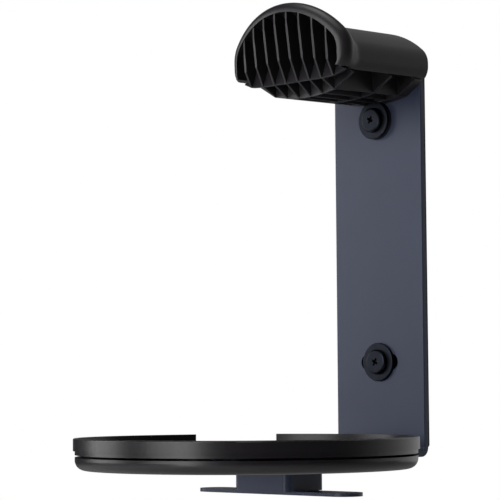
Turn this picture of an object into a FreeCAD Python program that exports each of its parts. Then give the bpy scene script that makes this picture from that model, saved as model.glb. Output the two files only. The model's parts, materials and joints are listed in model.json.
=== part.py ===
import FreeCAD, Part
import math
import os

from FreeCAD import Vector

os.makedirs("parts", exist_ok=True)

# Headphone hook with a swivelling tray. Millimetres.
# +X is to the right, +Y goes into the wall and +Z is up. The origin lies on the wall plane,
# on the centre line of the strap, midway between the two wall screws.

# Steel strap
STRAP_WIDTH = 54.2
STRAP_THICKNESS = 3.0
STRAP_TOP_Z = 92.0
STRAP_TOP_CORNER = 9.0
STRAP_EDGE_ROUND = 0.5
PAD_THICKNESS = 1.0
PAD_INSET = 0.3
BEND_RADIUS = 1.6
ARM_TOP_Z = -100.5
ARM_END_Y = -122.0
STRAP_BACK_Y = -PAD_THICKNESS
STRAP_FRONT_Y = -PAD_THICKNESS - STRAP_THICKNESS

# Wall screws, washers, and the slot that levels the lower screw
SCREW_SPACING = 117.0
SCREW_THREAD_R = 3.0
SCREW_SHANK_R = 2.7
SCREW_HEAD_R = 6.0
SCREW_HEAD_HEIGHT = 2.1
SCREW_REACH = 14.0
SCREW_HOLE_R = 3.3
WASHER_R = 9.2
WASHER_THICKNESS = 1.5
SPACER_THICKNESS = 1.5
SLOT_LENGTH = 22.8
SLOT_HEIGHT = 7.6
RECESS_ANGLE = 28.0

# Saddle, drawn level in its own frame and then tipped down towards its nose
SADDLE_TILT = 2.05
SADDLE_Z = 75.85
SADDLE_BACK = 4.2
SADDLE_NOSE = 72.4
SADDLE_HALF_WIDTH = 32.6
ARCH_RADIUS = 44.6
ARCH_CENTRE_W = -19.5
SIDE_ROUND = 8.7
FOOT_ROUND = 8.5
FOOT_W = -2.6
FOOT_TURN = 48.0
FOOT_LIFT = 0.6
FOOT_TIGHTENING = 0.5
SHELL_WALL = 2.6

# Flared lip at the saddle's nose
LIP_START = 55.8
LIP_CREST = 68.6
LIP_LAG = 1.36
LIP_WALL = 4.5
LIP_WIDER = 3.4
LIP_ARCH_RADIUS_ADDED = -1.5
LIP_ARCH_HIGHER = 9.9
LIP_SIDE_ROUND_ADDED = 4.2
LIP_FOOT_ROUND_ADDED = 1.8
LIP_FOOT_TIGHTENING_ADDED = 0.9
NOSE_ROUND = 4.1
NOSE_BOW = 0.0036
BOW_START = 42.0
BOW_FULL = 64.0
BODY_STATIONS = 5
LIP_STATIONS = 16
NOSE_STATIONS = 6

# Ribbed core inside the saddle
CORE_GAP = 0.08
CORE_BACK = 1.0
GRILLE_REACH = 59.0
GRILLE_THICKNESS = 2.0
SCOOP_TOP_W = 12.0
SCOOP_ROUND = 12.0
CHIN_REACH = 65.2
CHIN_W = -3.2
CHIN_ENDS = [(25.6, -2.7), (31.0, -0.7), (31.0, 0.1), (28.6, 0.8)]
FIN_COUNT = 8
FIN_PITCH = 7.32
FIN_THICKNESS = 1.15
FIN_FRONT = 71.9
FIN_TOP_W = 40.0
FIN_EDGE_ROUND = 0.4
KNEE_W = 11.8
KNEE_DROP = 6.6
KNEE_ROUND = 3.0
KEEL_COUNT = 6
BELLY_LOW_W = -9.4
BELLY_RADIUS = 90.0
BELLY_FRONT = 56.6
BELLY_HALF_WIDTH = 18.87
BELLY_ENDS = [(29.3, -1.0), (29.3, -0.5), (27.3, 0.55)]
DECK_W = 3.0
DECK_THICKNESS = 1.6
DECK_REACH = 60.9
CORE_PLATE_THICKNESS = 9.6
CROSS_RIBS = [28.3, 55.6]
CROSS_RIB_THICKNESS = 1.6
WASHER_RELIEF = 0.6

# Four screws from behind the strap hold the saddle
SADDLE_SCREW_X = 13.0
SADDLE_SCREW_Z = [74.5, 86.5]
SADDLE_SCREW_R = 2.0
SADDLE_SCREW_HEAD_R = 3.8
INSERT_R = 2.8
INSERT_DEPTH = 1.0

# Round tray on its base
TRAY_R = 77.1
TRAY_CENTRE_Y = -96.8
TRAY_TOP_Z = -92.7
TRAY_WALL = 2.0
TRAY_SKIRT_Z = -98.2
TRAY_SKIRT_INSET = 0.8
TRAY_FLOOR_BOTTOM_Z = -100.0
TRAY_FLOOR_THICKNESS = 1.8
NOTCH_ANGLE = 137.7
NOTCH_WIDTH = 38.9
BASE_R = 76.3
BASE_TOP_Z = -101.0
BASE_BOTTOM_Z = -106.8
BASE_ROUND = 4.5
BASE_WALL = 2.0
BASE_BOSS_R = 6.0
BASE_SCREWS = [(0.0, -114.0), (-20.0, -52.0), (20.0, -52.0)]

# Tray pivot
STUD_R = 3.0
BUSH_R = 5.0
RUNNING_GAP = 0.05
GLIDE_R = 24.0
RETAINER_R = 9.0

# Cable winder under the base
POST_WIDTH = 33.1
POST_DEPTH = 25.2
POST_CENTRE_Y = -75.7
POST_WALL = 1.6
POST_ROUND = 3.0
PLATE_LENGTH = 94.4
PLATE_DEPTH = 16.3
PLATE_THICKNESS = 1.6
PLATE_TOP_Z = -117.0
WINDER_SCREW_X = 9.0
SMALL_SCREW_R = 2.0
SMALL_HEAD_R = 3.75


def box(x0, x1, y0, y1, z0, z1):
    return Part.makeBox(x1 - x0, y1 - y0, z1 - z0, Vector(x0, y0, z0))


def rod(radius, start, direction, length):
    return Part.makeCylinder(radius, length, Vector(*start), Vector(*direction))


def cone(radius_start, radius_end, start, direction, length):
    return Part.makeCone(radius_start, radius_end, length, Vector(*start), Vector(*direction))


def disc(radius, z0, z1, y=TRAY_CENTRE_Y):
    return rod(radius, (0, y, z0), (0, 0, 1), z1 - z0)


def join(shapes):
    whole = shapes[0]
    if len(shapes) > 1:
        whole = shapes[0].fuse(shapes[1:])
    return whole.removeSplitter()


def cut(shape, tools):
    return shape.cut(Part.makeCompound(tools)).removeSplitter()


def save(name, shape):
    solids = shape.Solids
    if len(solids) == 1:
        shape = solids[0]
    else:
        shape = Part.makeCompound(solids)
    shape.exportStep("parts/" + name + ".step")


def rounded_outline(corners):
    """Closed wire through (point, radius) corners, each rounded by a tangent arc."""
    edges = []
    starts = []
    ends = []
    mids = []
    count = len(corners)
    for i in range(count):
        point, radius = corners[i]
        before = (corners[i - 1][0] - point).normalize()
        after = (corners[(i + 1) % count][0] - point).normalize()
        if radius == 0:
            starts.append(point)
            ends.append(point)
            mids.append(None)
            continue
        half = before.getAngle(after) / 2.0
        reach = radius / math.tan(half)
        bisector = (before + after).normalize()
        starts.append(point + before * reach)
        ends.append(point + after * reach)
        mids.append(point + bisector * (radius / math.sin(half) - radius))
    for i in range(count):
        if mids[i] is not None:
            edges.append(Part.Arc(starts[i], mids[i], ends[i]).toShape())
        following = starts[(i + 1) % count]
        if (following - ends[i]).Length > 1e-6:
            edges.append(Part.makeLine(ends[i], following))
    return Part.Wire(edges)


def prism(corners, direction):
    return Part.Face(rounded_outline(corners)).extrude(direction)


def side_prism(outline, x0, x1):
    """Solid between x0 and x1 from an outline of (y, z, radius) points."""
    corners = [(Vector(x0, y, z), r) for y, z, r in outline]
    return prism(corners, Vector(x1 - x0, 0, 0))


def ease(t):
    """Smooth rise from 0 to 1 that starts and ends level."""
    t = min(max(t, 0.0), 1.0)
    return t * t * (3.0 - 2.0 * t)


def lip_share(reach):
    """How much of the lip's shape the arch has at a reach: 0 along the body, 1 at the lip's crest."""
    rise = max((reach - LIP_START) / (LIP_CREST - LIP_START), 0.0)
    return ease(rise ** LIP_LAG)


def arc_points(centre, radius, turn_0, turn_1, steps):
    """(x, w) points along an arc, from its start to one step before its end."""
    points = []
    for i in range(steps):
        turn = turn_0 + (turn_1 - turn_0) * i / steps
        points.append((centre[0] + radius * math.cos(turn), centre[1] + radius * math.sin(turn)))
    return points


def saddle_outline(share, grow):
    """(x, w) points round the arch from its left foot to its right one.

    A negative `grow` draws the outline in; the side round shrinks half as fast.
    """
    half = SADDLE_HALF_WIDTH + LIP_WIDER * share + grow
    arch = ARCH_RADIUS + LIP_ARCH_RADIUS_ADDED * share + grow
    arch_w = ARCH_CENTRE_W + LIP_ARCH_HIGHER * share
    side = SIDE_ROUND + LIP_SIDE_ROUND_ADDED * share + grow / 2.0
    foot = FOOT_ROUND + LIP_FOOT_ROUND_ADDED * share
    foot += grow * (FOOT_TIGHTENING + LIP_FOOT_TIGHTENING_ADDED * share)
    foot_w = FOOT_W - grow * FOOT_LIFT
    side_w = arch_w + math.sqrt((arch - side) ** 2 - (half - side) ** 2)
    join_turn = math.atan2(side_w - arch_w, half - side)
    quarter = math.pi / 2.0
    right = arc_points((0.0, arch_w), arch, quarter, join_turn, 16)
    right += arc_points((half - side, side_w), side, join_turn, 0.0, 7)
    right += [(half, side_w + (foot_w + foot - side_w) * i / 4.0) for i in range(4)]
    right += arc_points((half - foot, foot_w + foot), foot, 0.0, -math.radians(FOOT_TURN), 9)
    left = [(-x, w) for x, w in reversed(right[1:])]
    return left + right


def skin(stations):
    """Smooth surface through outlines at (reach, share, grow) stations, bowed back at its sides."""
    rows = []
    for reach, share, grow in stations:
        bow = NOSE_BOW * ease((reach - BOW_START) / (BOW_FULL - BOW_START))
        rows.append([Vector(x, bow * x * x - reach, w) for x, w in saddle_outline(share, grow)])
    surface = Part.BSplineSurface()
    surface.interpolate(rows)
    return surface.toShape()


def body_reaches(back):
    return [back + (BOW_START - back) * i / BODY_STATIONS for i in range(BODY_STATIONS)]


def outer_stations():
    """Stations of the shell's outside, ending in the quarter round of its nose."""
    stations = [(reach, 0.0, 0.0) for reach in body_reaches(SADDLE_BACK)]
    crest = SADDLE_NOSE - NOSE_ROUND
    for i in range(LIP_STATIONS):
        reach = BOW_START + (crest - BOW_START) * i / LIP_STATIONS
        stations.append((reach, lip_share(reach), 0.0))
    for i in range(NOSE_STATIONS + 1):
        turn = math.radians(90.0) * i / NOSE_STATIONS
        reach = crest + NOSE_ROUND * math.sin(turn)
        stations.append((reach, lip_share(reach), -NOSE_ROUND * (1.0 - math.cos(turn))))
    return stations


def inner_stations(gap):
    """Stations of the shell's inside, `gap` further in."""
    back = SADDLE_BACK if gap == 0.0 else CORE_BACK
    stations = [(reach, 0.0, -SHELL_WALL - gap) for reach in body_reaches(back)]
    for i in range(LIP_STATIONS + 1):
        reach = BOW_START + (SADDLE_NOSE - BOW_START) * i / LIP_STATIONS
        share = lip_share(reach)
        stations.append((reach, share, -SHELL_WALL - (LIP_WALL - SHELL_WALL) * share - gap))
    return stations


def ends_of(face):
    """A skin's four edges: back, nose, left foot and right foot."""
    by_reach = sorted(face.Edges, key=lambda edge: edge.BoundBox.YLength)
    back, nose = sorted(by_reach[:2], key=lambda edge: -edge.BoundBox.YMax)
    left, right = sorted(by_reach[2:], key=lambda edge: edge.BoundBox.XMin)
    return back, nose, left, right


def closed_solid(faces):
    hull = Part.makeShell(faces)
    hull.sewShape()
    solid = Part.Solid(hull)
    if solid.Volume < 0:
        solid.reverse()
    return solid


def inside_space():
    """Solid that fills the arch's inside, for the core's parts to be trimmed with."""
    inside = skin(inner_stations(CORE_GAP))
    back, nose, left, right = ends_of(inside)
    faces = [inside, Part.makeRuledSurface(left, right)]
    for end in (back, nose):
        chord = Part.makeLine(end.Vertexes[0].Point, end.Vertexes[-1].Point)
        faces.append(Part.makeRuledSurface(end, chord))
    return closed_solid(faces)


def place_saddle(shape):
    """Tip a level saddle piece down towards its nose and lift it to its height."""
    placed = shape.copy()
    placed.rotate(Vector(0, 0, 0), Vector(1, 0, 0), SADDLE_TILT)
    placed.translate(Vector(0, 0, SADDLE_Z))
    return placed


def screw_heights():
    return [SCREW_SPACING / 2.0, -SCREW_SPACING / 2.0]


def washer_seats():
    """Y of the face that each penny washer rests on, upper first."""
    return [STRAP_FRONT_Y - SPACER_THICKNESS, STRAP_FRONT_Y]


def countersink(head_r, shank_r, start, direction):
    return cone(head_r, shank_r, start, direction, head_r - shank_r)


def saddle_screw_places():
    return [(x, z) for z in SADDLE_SCREW_Z for x in (-SADDLE_SCREW_X, SADDLE_SCREW_X)]


def winder_screw_places():
    return [(-WINDER_SCREW_X, POST_CENTRE_Y), (WINDER_SCREW_X, POST_CENTRE_Y)]


def is_through_edge(edge):
    """True for the short edges that cross the strap's thickness, or its flat width."""
    top_length = STRAP_WIDTH - 2.0 * STRAP_TOP_CORNER
    return edge.Length < STRAP_THICKNESS + 0.1 or edge.BoundBox.XLength > top_length + 1.0


def make_bracket():
    """Flat strap, bent forward at its foot into the arm that carries the tray."""
    half = STRAP_WIDTH / 2.0
    under_z = ARM_TOP_Z - STRAP_THICKNESS
    outline = [
        (STRAP_BACK_Y, STRAP_TOP_Z, 0),
        (STRAP_FRONT_Y, STRAP_TOP_Z, 0),
        (STRAP_FRONT_Y, ARM_TOP_Z, BEND_RADIUS),
        (ARM_END_Y, ARM_TOP_Z, 0),
        (ARM_END_Y, under_z, 0),
        (STRAP_BACK_Y, under_z, BEND_RADIUS + STRAP_THICKNESS),
    ]
    strap = side_prism(outline, -half, half)
    front_mask = prism([
        (Vector(-half, 5, -120), 0),
        (Vector(half, 5, -120), 0),
        (Vector(half, 5, STRAP_TOP_Z), STRAP_TOP_CORNER),
        (Vector(-half, 5, STRAP_TOP_Z), STRAP_TOP_CORNER),
    ], Vector(0, -200, 0))
    arm_mask = prism([
        (Vector(-half, 5, -120), 0),
        (Vector(half, 5, -120), 0),
        (Vector(half, ARM_END_Y, -120), half * 0.8),
        (Vector(-half, ARM_END_Y, -120), half * 0.8),
    ], Vector(0, 0, 230))
    strap = strap.common(front_mask).common(arm_mask)
    strap = strap.makeFillet(STRAP_EDGE_ROUND, [edge for edge in strap.Edges if not is_through_edge(edge)])
    upper, lower = screw_heights()
    tools = [rod(SCREW_HOLE_R, (0, 1, upper), (0, -1, 0), 10)]
    reach = (SLOT_LENGTH - SLOT_HEIGHT) / 2.0
    tools.append(box(-reach, reach, -8, 1, lower - SLOT_HEIGHT / 2.0, lower + SLOT_HEIGHT / 2.0))
    for x in (-reach, reach):
        tools.append(rod(SLOT_HEIGHT / 2.0, (x, 1, lower), (0, -1, 0), 9))
    for x, z in saddle_screw_places():
        tools.append(rod(SADDLE_SCREW_R, (x, 1, z), (0, -1, 0), 6))
        tools.append(countersink(SADDLE_SCREW_HEAD_R, SADDLE_SCREW_R, (x, STRAP_BACK_Y, z), (0, -1, 0)))
    tools.append(disc(STUD_R, under_z - 1, ARM_TOP_Z + 1))
    tools.append(disc(STUD_R + 1.5, under_z - 1, under_z + 1.2))
    for x, y in BASE_SCREWS + winder_screw_places():
        tools.append(rod(SMALL_SCREW_R, (x, y, under_z - 1), (0, 0, 1), 6))
    return cut(strap, tools)


def make_wall_pad():
    """Thin rubber pad between the strap and the wall."""
    half = STRAP_WIDTH / 2.0 - PAD_INSET
    bottom = ARM_TOP_Z - STRAP_THICKNESS + BEND_RADIUS + STRAP_THICKNESS
    pad = prism([
        (Vector(-half, 0, bottom), 1.0),
        (Vector(half, 0, bottom), 1.0),
        (Vector(half, 0, STRAP_TOP_Z - PAD_INSET), STRAP_TOP_CORNER),
        (Vector(-half, 0, STRAP_TOP_Z - PAD_INSET), STRAP_TOP_CORNER),
    ], Vector(0, -PAD_THICKNESS, 0))
    holes = [rod(SCREW_HOLE_R, (0, 1, z), (0, -1, 0), 4) for z in screw_heights()]
    return cut(pad, holes)


def cross_recess(centre_y, z):
    """Cross-shaped driver recess cut into a wall screw's head."""
    arms = []
    for turn in (RECESS_ANGLE, RECESS_ANGLE + 90.0):
        arm = box(-1.9, 1.9, centre_y - 0.1, centre_y + 1.7, -0.55, 0.55)
        arm.rotate(Vector(0, 0, 0), Vector(0, 1, 0), turn)
        arm.translate(Vector(0, 0, z))
        arms.append(arm)
    arms.append(cone(1.1, 0.5, (0, centre_y - 0.1, z), (0, 1, 0), 2.2))
    return arms


def make_mounting_screws():
    """Two M6 pan-head screws: a plain shank through the strap, then the thread behind the pad."""
    screws = []
    for z, seat in zip(screw_heights(), washer_seats()):
        under_head = seat - WASHER_THICKNESS
        top = under_head - SCREW_HEAD_HEIGHT
        head = rod(SCREW_HEAD_R, (0, under_head, z), (0, -1, 0), SCREW_HEAD_HEIGHT)
        rim = [edge for edge in head.Edges if abs(edge.CenterOfMass.y - top) < 0.01 and edge.Closed]
        head = head.makeFillet(1.2, rim)
        shank = rod(SCREW_SHANK_R, (0, under_head, z), (0, 1, 0), -under_head)
        thread = rod(SCREW_THREAD_R, (0, 0, z), (0, 1, 0), SCREW_REACH)
        tip = cone(SCREW_THREAD_R, SCREW_THREAD_R - 0.8, (0, SCREW_REACH, z), (0, 1, 0), 1.0)
        screws.append(cut(join([head, shank, thread, tip]), cross_recess(top, z)))
    return Part.makeCompound(screws)


def make_penny_washers():
    washers = []
    for z, seat in zip(screw_heights(), washer_seats()):
        ring = rod(WASHER_R, (0, seat, z), (0, -1, 0), WASHER_THICKNESS)
        front = [e for e in ring.Edges if abs(e.CenterOfMass.y - (seat - WASHER_THICKNESS)) < 0.01 and e.Closed]
        ring = ring.makeFillet(0.4, front)
        washers.append(ring.cut(rod(SCREW_HOLE_R, (0, 1, z), (0, -1, 0), 15)))
    return Part.makeCompound(washers)


def make_upper_spacer():
    z = screw_heights()[0]
    ring = rod(WASHER_R, (0, STRAP_FRONT_Y, z), (0, -1, 0), SPACER_THICKNESS)
    return ring.cut(rod(SCREW_HOLE_R, (0, 1, z), (0, -1, 0), 15))


def level_shell():
    """Arched shell with a flared, bowed lip at its nose, open underneath."""
    outside = skin(outer_stations())
    inside = skin(inner_stations(0.0))
    faces = [outside, inside]
    for outer_edge, inner_edge in zip(ends_of(outside), ends_of(inside)):
        faces.append(Part.makeRuledSurface(outer_edge, inner_edge))
    return closed_solid(faces)


def make_saddle_shell():
    return place_saddle(level_shell())


def level_rod(radius, x, z, length):
    """A rod along the wall's normal, given in the level frame of the saddle."""
    shape = rod(radius, (x, 5, z), (0, -1, 0), length)
    shape.translate(Vector(0, 0, -SADDLE_Z))
    shape.rotate(Vector(0, 0, 0), Vector(1, 0, 0), -SADDLE_TILT)
    return shape


def belly_w(x):
    """Lower edge of the ribs under the saddle: a shallow upside-down arch."""
    return BELLY_LOW_W + BELLY_RADIUS - math.sqrt(BELLY_RADIUS ** 2 - x ** 2)


def belly_arch(reach0, reach1):
    """Cross wall under the saddle: a shallow keel whose sides slope up to the shell's feet."""
    half = BELLY_HALF_WIDTH
    left = Vector(-half, 0, belly_w(half))
    right = Vector(half, 0, belly_w(half))
    arc = Part.Arc(left, Vector(0, 0, BELLY_LOW_W), right).toShape()
    ends = BELLY_ENDS + [(BELLY_ENDS[-1][0], DECK_W)]
    corners = [Vector(x, 0, w) for x, w in ends]
    corners += [Vector(-x, 0, w) for x, w in reversed(ends)]
    sides = Part.makePolygon([right] + corners + [left])
    body = Part.Face(Part.Wire([arc] + sides.Edges)).extrude(Vector(0, reach0 - reach1, 0))
    body.translate(Vector(0, -reach0, 0))
    return body


def chin_space():
    """Room for the chin, between the shell's two feet and a little way up inside it."""
    ends = [(BELLY_HALF_WIDTH, CHIN_W)] + CHIN_ENDS + [(CHIN_ENDS[-1][0], DECK_W)]
    corners = [Vector(x, -CORE_BACK, w) for x, w in ends]
    corners += [Vector(-x, -CORE_BACK, w) for x, w in reversed(ends)]
    return Part.Face(Part.makePolygon(corners + corners[:1])).extrude(Vector(0, -SADDLE_NOSE, 0))


def grille_wall():
    """Wall behind the fins, scooped forward at its foot to the chin."""
    back = GRILLE_REACH - GRILLE_THICKNESS
    return side_prism([
        (-CHIN_REACH, CHIN_W, 0),
        (-GRILLE_REACH, SCOOP_TOP_W, SCOOP_ROUND),
        (-GRILLE_REACH, FIN_TOP_W, 0),
        (-back, FIN_TOP_W, 0),
        (-back, SCOOP_TOP_W, 0),
        (-CHIN_REACH + GRILLE_THICKNESS, CHIN_W, 0),
    ], -STRAP_WIDTH, STRAP_WIDTH)


def rib_places(count):
    return [(i - (count - 1) / 2.0) * FIN_PITCH for i in range(count)]


def make_fin(x):
    """Fin in front of the grille wall: upright, then sloping back under its knee to the chin."""
    front = -FIN_FRONT + NOSE_BOW * x * x
    back = -GRILLE_REACH + GRILLE_THICKNESS / 2.0
    knee = KNEE_W - KNEE_DROP * (x / rib_places(FIN_COUNT)[-1]) ** 2
    fin = side_prism([
        (back, FIN_TOP_W, 0),
        (front, FIN_TOP_W, 0),
        (front, knee, KNEE_ROUND),
        (-CHIN_REACH - 0.15, CHIN_W, 0),
        (-CHIN_REACH + GRILLE_THICKNESS / 2.0, CHIN_W, 0),
        (back, SCOOP_TOP_W, 0),
    ], x - FIN_THICKNESS / 2.0, x + FIN_THICKNESS / 2.0)
    return round_rib(fin, lambda middle: middle.y < -CHIN_REACH - 0.5 and middle.z < FIN_TOP_W - 1.0)


def round_rib(rib, on_edge):
    """Round the long free edges of a thin rib, where on_edge accepts their middles."""
    edges = []
    for edge in rib.Edges:
        if edge.BoundBox.XLength < 0.01 and on_edge(edge.CenterOfMass):
            edges.append(edge)
    return rib.makeFillet(FIN_EDGE_ROUND, edges)


def make_keel(x):
    """Rib under the saddle, sloping down from the chin and then level to the wall."""
    low = belly_w(x)
    keel = side_prism([
        (-CORE_BACK, DECK_W + 0.5, 0),
        (-DECK_REACH, DECK_W + 0.5, 0),
        (-CHIN_REACH + 0.4, CHIN_W, 0),
        (-BELLY_FRONT, low, 0.8),
        (-CORE_BACK, low, 0),
    ], x - FIN_THICKNESS / 2.0, x + FIN_THICKNESS / 2.0)
    return round_rib(keel, lambda middle: middle.z < CHIN_W - 0.5 and middle.y < -CORE_BACK - 1.0)


def make_saddle_core():
    """Grille wall and fins in the nose, keels and cross ribs underneath, deck and back plate."""
    plate_front = CORE_BACK + CORE_PLATE_THICKNESS
    fins = [make_fin(x) for x in rib_places(FIN_COUNT)]
    trimmed = [
        grille_wall(),
        box(-60, 60, -DECK_REACH, 0, DECK_W, DECK_W + DECK_THICKNESS),
        box(-60, 60, -plate_front, 0, FOOT_W, 60),
    ]
    trimmed += fins
    chin = chin_space()
    loose = [
        grille_wall().common(chin),
        belly_arch(CORE_BACK, plate_front),
    ]
    loose += [make_keel(x) for x in rib_places(KEEL_COUNT)]
    loose += [fin.common(chin) for fin in fins]
    for reach in CROSS_RIBS:
        low_reach = reach - CROSS_RIB_THICKNESS / 2.0
        high_reach = reach + CROSS_RIB_THICKNESS / 2.0
        loose.append(belly_arch(low_reach, high_reach))
        trimmed.append(box(-60, 60, -high_reach, -low_reach, FOOT_W, DECK_W + 0.5))
    core = join([join(trimmed).common(inside_space())] + loose)
    tools = [level_rod(INSERT_R, x, z, 30.0) for x, z in saddle_screw_places()]
    tools.append(level_rod(WASHER_R + WASHER_RELIEF, 0.0, screw_heights()[0], 16.0))
    strap_face = box(-60, 60, STRAP_FRONT_Y, 30, -200, 200)
    return place_saddle(cut(core, tools)).cut(strap_face)


def insert_span():
    """Y of the two ends of each threaded insert, back end first."""
    start = STRAP_FRONT_Y - INSERT_DEPTH
    return start, start - 3.8


def make_saddle_inserts():
    start, end = insert_span()
    inserts = []
    for x, z in saddle_screw_places():
        body = rod(INSERT_R, (x, start, z), (0, -1, 0), start - end)
        inserts.append(body.cut(rod(SADDLE_SCREW_R, (x, start + 1, z), (0, -1, 0), 8)))
    return Part.makeCompound(inserts)


def make_saddle_screws():
    """Four countersunk screws, flush with the back of the strap."""
    end = insert_span()[1] + 0.3
    screws = []
    for x, z in saddle_screw_places():
        head = countersink(SADDLE_SCREW_HEAD_R, SADDLE_SCREW_R, (x, STRAP_BACK_Y, z), (0, -1, 0))
        shank = rod(SADDLE_SCREW_R, (x, STRAP_BACK_Y - 0.5, z), (0, -1, 0), STRAP_BACK_Y - 0.5 - end)
        hex_socket = prism_hex(x, STRAP_BACK_Y, z, 1.25)
        screws.append(join([head, shank]).cut(hex_socket))
    return Part.makeCompound(screws)


def prism_hex(x, y, z, radius):
    """Hexagonal driver socket, opening towards +Y."""
    corners = []
    for i in range(6):
        turn = math.radians(60.0 * i)
        corners.append((Vector(x + radius * math.cos(turn), y + 0.1, z + radius * math.sin(turn)), 0))
    return prism(corners, Vector(0, -1.3, 0))


def make_swivel_tray():
    """Round tray with a low wall, a set-back skirt and one notch for a cable."""
    floor_top = TRAY_FLOOR_BOTTOM_Z + TRAY_FLOOR_THICKNESS
    outer = join([
        disc(TRAY_R, TRAY_SKIRT_Z, TRAY_TOP_Z),
        disc(TRAY_R - TRAY_SKIRT_INSET, TRAY_FLOOR_BOTTOM_Z, TRAY_SKIRT_Z),
    ])
    rim = [e for e in outer.Edges if e.Closed and e.CenterOfMass.z > TRAY_TOP_Z - 0.01]
    outer = outer.makeFillet(0.6, rim)
    inside = disc(TRAY_R - TRAY_WALL, floor_top, TRAY_TOP_Z + 1)
    floor_edge = [e for e in inside.Edges if e.Closed and e.CenterOfMass.z < floor_top + 0.01]
    inside = inside.makeFillet(1.5, floor_edge)
    notch = box(TRAY_R - 12, TRAY_R + 6, -NOTCH_WIDTH / 2.0, NOTCH_WIDTH / 2.0, floor_top, TRAY_TOP_Z + 1)
    side = NOTCH_WIDTH / 2.0 - 0.1
    low = [e for e in notch.Edges if abs(e.CenterOfMass.z - floor_top) < 0.01 and abs(e.CenterOfMass.y) > side]
    notch = notch.makeFillet(1.2, low)
    notch.rotate(Vector(0, 0, 0), Vector(0, 0, 1), NOTCH_ANGLE)
    notch.translate(Vector(0, TRAY_CENTRE_Y, 0))
    bore = disc(BUSH_R, TRAY_FLOOR_BOTTOM_Z - 1, floor_top + 1)
    return cut(outer, [inside, notch, bore])


def make_pivot_bush():
    """Plain bush pressed into the tray's floor; it turns on the stud."""
    floor_top = TRAY_FLOOR_BOTTOM_Z + TRAY_FLOOR_THICKNESS
    body = disc(BUSH_R, TRAY_FLOOR_BOTTOM_Z, floor_top)
    return body.cut(disc(STUD_R + RUNNING_GAP, TRAY_FLOOR_BOTTOM_Z - 1, floor_top + 1))


def make_glide_washer():
    ring = disc(GLIDE_R, ARM_TOP_Z, TRAY_FLOOR_BOTTOM_Z - 0.05)
    return ring.cut(disc(STUD_R, ARM_TOP_Z - 1, ARM_TOP_Z + 2))


def stud_top():
    return TRAY_FLOOR_BOTTOM_Z + TRAY_FLOOR_THICKNESS + 1.9


def make_pivot_stud():
    under_z = ARM_TOP_Z - STRAP_THICKNESS
    return join([
        disc(STUD_R + 1.5, under_z, under_z + 1.2),
        disc(STUD_R, under_z, stud_top()),
    ])


def make_pivot_retainer():
    """Low domed nut that keeps the tray on its stud."""
    low = TRAY_FLOOR_BOTTOM_Z + TRAY_FLOOR_THICKNESS + 0.45
    body = disc(RETAINER_R - 1.0, low, low + 2.0)
    top = [e for e in body.Edges if e.Closed and e.CenterOfMass.z > low + 1.9]
    body = body.makeFillet(1.1, top)
    return body.cut(disc(STUD_R, low - 1, stud_top()))


def make_pivot_washer():
    low = TRAY_FLOOR_BOTTOM_Z + TRAY_FLOOR_THICKNESS + 0.05
    ring = disc(RETAINER_R, low, low + 0.4)
    return ring.cut(disc(STUD_R, low - 1, low + 1))


def make_tray_base():
    """Shallow round base that hides the arm, with a rounded lower edge."""
    outer = disc(BASE_R, BASE_BOTTOM_Z, BASE_TOP_Z)
    low = [e for e in outer.Edges if e.Closed and e.CenterOfMass.z < BASE_BOTTOM_Z + 0.01]
    outer = outer.makeFillet(BASE_ROUND, low)
    inside = disc(BASE_R - BASE_WALL, BASE_BOTTOM_Z + BASE_WALL, BASE_TOP_Z + 1)
    edge = [e for e in inside.Edges if e.Closed and e.CenterOfMass.z < BASE_BOTTOM_Z + BASE_WALL + 0.01]
    inside = inside.makeFillet(1.6, edge)
    under_z = ARM_TOP_Z - STRAP_THICKNESS
    half = STRAP_WIDTH / 2.0 + 0.2
    arm_gate = box(-half, half, -40, 0, under_z, BASE_TOP_Z + 1)
    base = outer.cut(inside)
    bosses = []
    for x, y in BASE_SCREWS + winder_screw_places():
        bosses.append(rod(BASE_BOSS_R, (x, y, BASE_BOTTOM_Z + 1), (0, 0, 1), under_z - BASE_BOTTOM_Z - 1))
    base = join([base] + bosses).cut(arm_gate)
    holes = []
    for x, y in BASE_SCREWS:
        holes.append(rod(SMALL_SCREW_R, (x, y, BASE_BOTTOM_Z - 1), (0, 0, 1), 8))
        holes.append(countersink(SMALL_HEAD_R, SMALL_SCREW_R, (x, y, BASE_BOTTOM_Z), (0, 0, 1)))
    for x, y in winder_screw_places():
        holes.append(rod(SMALL_SCREW_R, (x, y, BASE_BOTTOM_Z - 1), (0, 0, 1), 8))
    return cut(base, holes)


def flat_screw(x, y, low, high):
    """Countersunk screw with its head at `low` and its tip at `high`."""
    head = countersink(SMALL_HEAD_R, SMALL_SCREW_R, (x, y, low), (0, 0, 1))
    shank = rod(SMALL_SCREW_R, (x, y, low + 0.5), (0, 0, 1), high - low - 0.5)
    socket = []
    for turn in (45.0, 135.0):
        slot = box(-1.7, 1.7, -0.4, 0.4, low - 0.1, low + 1.2)
        slot.rotate(Vector(0, 0, 0), Vector(0, 0, 1), turn)
        slot.translate(Vector(x, y, 0))
        socket.append(slot)
    return cut(join([head, shank]), socket)


def make_base_screws():
    return Part.makeCompound([flat_screw(x, y, BASE_BOTTOM_Z, ARM_TOP_Z) for x, y in BASE_SCREWS])


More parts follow.
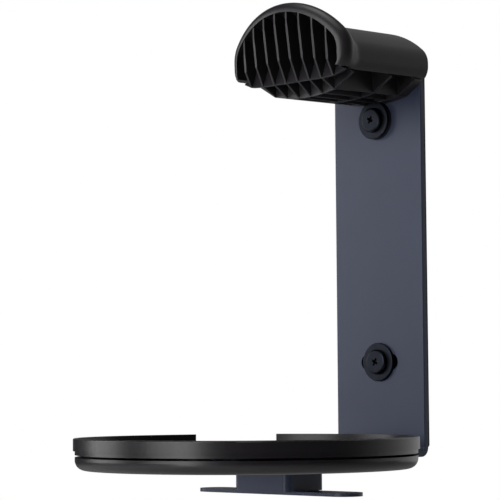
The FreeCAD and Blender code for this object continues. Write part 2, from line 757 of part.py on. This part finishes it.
def make_winder_post():
    """Rectangular tube with rounded upright corners that cables wind round."""
    def sleeve(grow, low, high, corner):
        half_x = POST_WIDTH / 2.0 + grow
        half_y = POST_DEPTH / 2.0 + grow
        return prism([
            (Vector(-half_x, POST_CENTRE_Y - half_y, low), corner),
            (Vector(half_x, POST_CENTRE_Y - half_y, low), corner),
            (Vector(half_x, POST_CENTRE_Y + half_y, low), corner),
            (Vector(-half_x, POST_CENTRE_Y + half_y, low), corner),
        ], Vector(0, 0, high - low))
    outside = sleeve(0.0, PLATE_TOP_Z, BASE_BOTTOM_Z, POST_ROUND)
    inside = sleeve(-POST_WALL, PLATE_TOP_Z - 1, BASE_BOTTOM_Z + 1, POST_ROUND - POST_WALL)
    return outside.cut(inside)


def make_winder_plate():
    """Flat bar with round ends across the foot of the post."""
    half = PLATE_LENGTH / 2.0
    y0 = POST_CENTRE_Y - PLATE_DEPTH / 2.0
    y1 = POST_CENTRE_Y + PLATE_DEPTH / 2.0
    low = PLATE_TOP_Z - PLATE_THICKNESS
    corner = PLATE_DEPTH / 2.0 - 0.05
    plate = prism([
        (Vector(-half, y0, low), corner),
        (Vector(half, y0, low), corner),
        (Vector(half, y1, low), corner),
        (Vector(-half, y1, low), corner),
    ], Vector(0, 0, PLATE_THICKNESS))
    holes = []
    for x, y in winder_screw_places():
        holes.append(rod(SMALL_SCREW_R, (x, y, low - 1), (0, 0, 1), 8))
        holes.append(countersink(SMALL_HEAD_R, SMALL_SCREW_R, (x, y, low), (0, 0, 1)))
    return cut(plate, holes)


def make_winder_screws():
    low = PLATE_TOP_Z - PLATE_THICKNESS
    return Part.makeCompound([flat_screw(x, y, low, ARM_TOP_Z) for x, y in winder_screw_places()])


PIECES = {
    "bracket": make_bracket,
    "wall_pad": make_wall_pad,
    "mounting_screws": make_mounting_screws,
    "penny_washers": make_penny_washers,
    "upper_spacer": make_upper_spacer,
    "saddle_shell": make_saddle_shell,
    "saddle_core": make_saddle_core,
    "saddle_inserts": make_saddle_inserts,
    "saddle_screws": make_saddle_screws,
    "swivel_tray": make_swivel_tray,
    "pivot_bush": make_pivot_bush,
    "pivot_stud": make_pivot_stud,
    "pivot_washer": make_pivot_washer,
    "pivot_retainer": make_pivot_retainer,
    "glide_washer": make_glide_washer,
    "tray_base": make_tray_base,
    "base_screws": make_base_screws,
    "winder_post": make_winder_post,
    "winder_plate": make_winder_plate,
    "winder_screws": make_winder_screws,
}

for piece_name, maker in PIECES.items():
    piece = maker()
    save(piece_name, piece)
    print(piece_name, len(piece.Solids), "solid(s)", round(piece.Volume / 1000.0, 3), "cm3", piece.isValid())
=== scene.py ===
import json
import math

import bpy
from mathutils import Matrix, Vector


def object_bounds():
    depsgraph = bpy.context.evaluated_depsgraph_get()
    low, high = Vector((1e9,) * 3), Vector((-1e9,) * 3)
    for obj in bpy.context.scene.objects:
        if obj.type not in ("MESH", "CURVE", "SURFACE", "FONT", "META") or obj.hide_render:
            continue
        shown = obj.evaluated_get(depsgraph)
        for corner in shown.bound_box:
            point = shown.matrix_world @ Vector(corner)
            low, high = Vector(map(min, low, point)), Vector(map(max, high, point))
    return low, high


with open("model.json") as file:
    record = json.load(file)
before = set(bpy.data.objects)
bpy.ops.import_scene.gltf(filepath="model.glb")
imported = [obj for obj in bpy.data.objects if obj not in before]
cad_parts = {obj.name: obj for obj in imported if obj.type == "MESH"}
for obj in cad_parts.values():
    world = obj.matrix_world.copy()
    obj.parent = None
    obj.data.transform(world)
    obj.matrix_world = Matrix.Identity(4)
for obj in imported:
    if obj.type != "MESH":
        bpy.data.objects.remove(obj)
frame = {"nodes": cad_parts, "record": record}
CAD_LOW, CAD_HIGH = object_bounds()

NODES = frame["nodes"]

# Camera, in metres and degrees: a long lens, a little below the middle of the strap
CAMERA_PLACE = Vector((0.6054, -0.7263, -0.0757))
CAMERA_TURN = 43.74
CAMERA_PITCH = 4.36
CAMERA_ROLL = -0.384
CAMERA_LENS = 140.42
SENSOR_WIDTH = 36.0
CLIP_START = 0.01
CLIP_END = 50.0

# The painted highlight: a lightened band along the saddle's sharp edges that stands in for
# the light its rounded edges catch. Its reach in metres, and the dot product of the rounded
# and the flat normal where the band is full and where it has faded out
PAINTED_HIGHLIGHT_RADIUS = 0.0004
PAINTED_HIGHLIGHT_FULL = 0.80
PAINTED_HIGHLIGHT_GONE = 0.98

# Floor, in metres: how far it lies below the object, and half its side
FLOOR_DROP = 0.45
FLOOR_HALF = 3.0
FLOOR_DARK = (0.86, 0.86, 0.86)
FLOOR_LIGHT = (0.9, 0.9, 0.9)
FLOOR_SPECKLE_SCALE = 3.0
FLOOR_ROUGHNESS = 0.8

# Surroundings: strength of the light in front of the object and behind it, and the two
# values of a direction's Y part between which the one turns into the other
WORLD_FRONT = 0.03
WORLD_BEHIND = 0.8
WORLD_TURN_START = 0.42
WORLD_TURN_END = 0.98

# Softboxes: places, sizes and aims in metres, power in watts
OBJECT_MIDDLE = (0.0, -0.05, 0.0)
TRAY_MIDDLE = (0.0, -0.08, -0.11)
SOFTBOXES = (
    {"name": "front_box", "place": (-0.10, -1.7, 0.35), "target": OBJECT_MIDDLE,
     "width": 1.05, "height": 1.0, "power": 16.0},
    {"name": "left_box", "place": (-1.65, -1.00, 0.25), "target": OBJECT_MIDDLE,
     "width": 1.1, "height": 1.0, "power": 11.0},
    {"name": "low_box", "place": (0.10, -1.5, -0.33), "target": TRAY_MIDDLE,
     "width": 0.3, "height": 0.3, "power": 1.6},
    {"name": "top_box", "place": (0.0, -0.3, 1.5), "target": OBJECT_MIDDLE,
     "width": 0.9, "height": 0.9, "power": 9.0},
)


# ---------------------------------------------------------------- node helpers

def new_material(name):
    material = bpy.data.materials.new(name)
    material.use_nodes = True
    tree = material.node_tree
    tree.nodes.clear()
    out = tree.nodes.new("ShaderNodeOutputMaterial")
    shader = tree.nodes.new("ShaderNodeBsdfPrincipled")
    tree.links.new(shader.outputs["BSDF"], out.inputs["Surface"])
    coords = tree.nodes.new("ShaderNodeTexCoord")
    return material, tree, shader, coords.outputs["Object"]


def noise(tree, coords, scale, detail, roughness=0.5):
    node = tree.nodes.new("ShaderNodeTexNoise")
    node.inputs["Scale"].default_value = scale
    node.inputs["Detail"].default_value = detail
    node.inputs["Roughness"].default_value = roughness
    tree.links.new(coords, node.inputs["Vector"])
    return node.outputs["Fac"]


def stretched(tree, coords, scale):
    node = tree.nodes.new("ShaderNodeMapping")
    node.inputs["Scale"].default_value = scale
    tree.links.new(coords, node.inputs["Vector"])
    return node.outputs["Vector"]


def spread(tree, value, low, high, low_in=0.3, high_in=0.7):
    """Stretch `value` from `low_in` .. `high_in`, where most noise lies, to `low` .. `high`."""
    node = tree.nodes.new("ShaderNodeMapRange")
    node.inputs["From Min"].default_value = low_in
    node.inputs["From Max"].default_value = high_in
    node.inputs["To Min"].default_value = low
    node.inputs["To Max"].default_value = high
    tree.links.new(value, node.inputs["Value"])
    return node.outputs["Result"]


def mixed(tree, share, under, over):
    """The colour `under`, plain or linked, giving way to the plain colour `over` as `share` rises."""
    node = tree.nodes.new("ShaderNodeMix")
    node.data_type = "RGBA"
    if isinstance(under, tuple):
        node.inputs["A"].default_value = (*under, 1.0)
    else:
        tree.links.new(under, node.inputs["A"])
    node.inputs["B"].default_value = (*over, 1.0)
    tree.links.new(share, node.inputs["Factor"])
    return node.outputs["Result"]


def bump(tree, height, strength, distance):
    node = tree.nodes.new("ShaderNodeBump")
    node.inputs["Strength"].default_value = strength
    node.inputs["Distance"].default_value = distance
    tree.links.new(height, node.inputs["Height"])
    return node.outputs["Normal"]


def painted_highlight_share(tree):
    """Share of the painted highlight: 1 at a sharp edge, falling to 0 on the flats beside it."""
    rounded = tree.nodes.new("ShaderNodeBevel")
    rounded.inputs["Radius"].default_value = PAINTED_HIGHLIGHT_RADIUS
    flat = tree.nodes.new("ShaderNodeNewGeometry")
    match = tree.nodes.new("ShaderNodeVectorMath")
    match.operation = "DOT_PRODUCT"
    tree.links.new(rounded.outputs["Normal"], match.inputs[0])
    tree.links.new(flat.outputs["Normal"], match.inputs[1])
    return spread(tree, match.outputs["Value"], 1.0, 0.0, PAINTED_HIGHLIGHT_FULL, PAINTED_HIGHLIGHT_GONE)


# ---------------------------------------------------------------- materials

def powder_coat(dark, light, specular, roughness, peel_scale, peel_depth):
    """Painted steel with a fine orange-peel texture."""
    material, tree, shader, coords = new_material("powder_coat")
    mottle = noise(tree, coords, scale=60.0, detail=2.0)
    peel = noise(tree, coords, scale=peel_scale, detail=2.0)
    tree.links.new(mixed(tree, mottle, dark, light), shader.inputs["Base Color"])
    shader.inputs["Specular IOR Level"].default_value = specular
    tree.links.new(spread(tree, peel, *roughness), shader.inputs["Roughness"])
    tree.links.new(bump(tree, peel, strength=0.25, distance=peel_depth), shader.inputs["Normal"])
    return material


def moulded_plastic(name, dark, light, roughness, grain_scale, grain_depth, painted_edge_highlight=None):
    """Moulded plastic or rubber with a fine grain, and, if given, a lighter colour painted along its
    sharp edges as a highlight.
    """
    material, tree, shader, coords = new_material(name)
    mottle = noise(tree, coords, scale=45.0, detail=3.0)
    grain = noise(tree, coords, scale=grain_scale, detail=3.0, roughness=0.6)
    colour = mixed(tree, mottle, dark, light)
    if painted_edge_highlight is not None:
        # painted highlight: the lighter colour laid along the sharp edges, where light would catch
        colour = mixed(tree, painted_highlight_share(tree), colour, painted_edge_highlight)
    tree.links.new(colour, shader.inputs["Base Color"])
    tree.links.new(spread(tree, grain, *roughness), shader.inputs["Roughness"])
    tree.links.new(bump(tree, grain, strength=0.3, distance=grain_depth), shader.inputs["Normal"])
    return material


def plated_metal(name, dark, light, roughness):
    """Bare or plated metal with faint scratches along Y."""
    material, tree, shader, coords = new_material(name)
    mottle = noise(tree, coords, scale=300.0, detail=3.0)
    along_y = stretched(tree, coords, (400.0, 60.0, 400.0))
    scratches = noise(tree, along_y, scale=6.0, detail=2.0)
    shader.inputs["Metallic"].default_value = 1.0
    tree.links.new(mixed(tree, mottle, dark, light), shader.inputs["Base Color"])
    tree.links.new(spread(tree, scratches, *roughness), shader.inputs["Roughness"])
    tree.links.new(bump(tree, scratches, strength=0.1, distance=0.00003), shader.inputs["Normal"])
    return material


MATERIALS = {
    "powder_coat": powder_coat(
        dark=(0.036, 0.045, 0.081), light=(0.042, 0.053, 0.094), specular=0.38,
        roughness=(0.34, 0.42), peel_scale=1400.0, peel_depth=0.00006),
    "saddle_plastic": moulded_plastic(
        "saddle_plastic", dark=(0.0105, 0.0088, 0.0108), light=(0.0150, 0.0128, 0.0155),
        roughness=(0.38, 0.48), grain_scale=2200.0, grain_depth=0.00005,
        # a painted highlight colour along the saddle's sharp edges
        painted_edge_highlight=(0.085, 0.085, 0.095)),
    "tray_plastic": moulded_plastic(
        "tray_plastic", dark=(0.0072, 0.0058, 0.0075), light=(0.0100, 0.0082, 0.0106),
        roughness=(0.28, 0.36), grain_scale=1800.0, grain_depth=0.00003),
    "rubber": moulded_plastic(
        "rubber", dark=(0.010, 0.010, 0.010), light=(0.015, 0.015, 0.016),
        roughness=(0.7, 0.8), grain_scale=1500.0, grain_depth=0.00006),
    "acetal": moulded_plastic(
        "acetal", dark=(0.66, 0.66, 0.63), light=(0.72, 0.72, 0.69),
        roughness=(0.3, 0.4), grain_scale=900.0, grain_depth=0.00002),
    "black_steel": plated_metal(
        "black_steel", dark=(0.015, 0.017, 0.023), light=(0.024, 0.027, 0.035),
        roughness=(0.30, 0.42)),
    "zinc_steel": plated_metal(
        "zinc_steel", dark=(0.52, 0.53, 0.55), light=(0.62, 0.63, 0.65),
        roughness=(0.22, 0.34)),
    "brass": plated_metal(
        "brass", dark=(0.60, 0.44, 0.18), light=(0.70, 0.54, 0.25),
        roughness=(0.25, 0.4)),
}


def dress_cad_nodes():
    """Give every CAD node the procedural material of its slot."""
    for entry in frame["record"]["subparts"]:
        node = NODES[entry["node"]]
        node.data.materials.clear()
        node.data.materials.append(MATERIALS[entry["material_slot"]])


# ---------------------------------------------------------------- studio

def add_camera():
    data = bpy.data.cameras.new("camera")
    data.lens = CAMERA_LENS
    data.sensor_width = SENSOR_WIDTH
    data.clip_start = CLIP_START
    data.clip_end = CLIP_END
    camera = bpy.data.objects.new("camera", data)
    bpy.context.scene.collection.objects.link(camera)
    turn = Matrix.Rotation(math.radians(CAMERA_TURN), 4, "Z")
    pitch = Matrix.Rotation(math.radians(90.0 + CAMERA_PITCH), 4, "X")
    roll = Matrix.Rotation(math.radians(CAMERA_ROLL), 4, "Z")
    camera.matrix_world = Matrix.Translation(CAMERA_PLACE) @ turn @ pitch @ roll
    bpy.context.scene.camera = camera


def add_softbox(name, place, target, width, height, power):
    data = bpy.data.lights.new(name, "AREA")
    data.shape = "RECTANGLE"
    data.size = width
    data.size_y = height
    data.energy = power
    light = bpy.data.objects.new(name, data)
    bpy.context.scene.collection.objects.link(light)
    light.location = place
    light.rotation_mode = "QUATERNION"
    light.rotation_quaternion = (Vector(target) - Vector(place)).to_track_quat("-Z", "Y")


def add_floor():
    half = FLOOR_HALF
    mesh = bpy.data.meshes.new("floor")
    corners = [(-half, -half, 0.0), (half, -half, 0.0), (half, half, 0.0), (-half, half, 0.0)]
    mesh.from_pydata(corners, [], [(0, 1, 2, 3)])
    floor = bpy.data.objects.new("floor", mesh)
    floor.location.z = CAD_LOW.z - FLOOR_DROP
    bpy.context.scene.collection.objects.link(floor)
    material, tree, shader, coords = new_material("floor")
    speckle = noise(tree, coords, scale=FLOOR_SPECKLE_SCALE, detail=2.0)
    tree.links.new(mixed(tree, speckle, FLOOR_DARK, FLOOR_LIGHT), shader.inputs["Base Color"])
    shader.inputs["Roughness"].default_value = FLOOR_ROUGHNESS
    mesh.materials.append(material)


def add_world():
    """White surroundings where the camera sees them directly, but for the light they give, and in
    reflections, bright behind the object (+Y) and dim in front of it."""
    world = bpy.data.worlds.new("studio")
    bpy.context.scene.world = world
    world.use_nodes = True
    tree = world.node_tree
    tree.nodes.clear()
    out = tree.nodes.new("ShaderNodeOutputWorld")
    seen = tree.nodes.new("ShaderNodeBackground")
    seen.inputs["Color"].default_value = (1.0, 1.0, 1.0, 1.0)
    seen.inputs["Strength"].default_value = 1.0
    lit = tree.nodes.new("ShaderNodeBackground")
    coords = tree.nodes.new("ShaderNodeTexCoord")
    split = tree.nodes.new("ShaderNodeSeparateXYZ")
    tree.links.new(coords.outputs["Generated"], split.inputs["Vector"])
    strength = spread(
        tree, split.outputs["Y"], WORLD_FRONT, WORLD_BEHIND, WORLD_TURN_START, WORLD_TURN_END)
    tree.links.new(strength, lit.inputs["Strength"])
    path = tree.nodes.new("ShaderNodeLightPath")
    mix = tree.nodes.new("ShaderNodeMixShader")
    tree.links.new(path.outputs["Is Camera Ray"], mix.inputs["Fac"])
    tree.links.new(lit.outputs["Background"], mix.inputs[1])
    tree.links.new(seen.outputs["Background"], mix.inputs[2])
    tree.links.new(mix.outputs["Shader"], out.inputs["Surface"])


dress_cad_nodes()
add_camera()
for softbox in SOFTBOXES:
    add_softbox(**softbox)
add_floor()
add_world()
bpy.context.scene.view_settings.view_transform = "Standard"
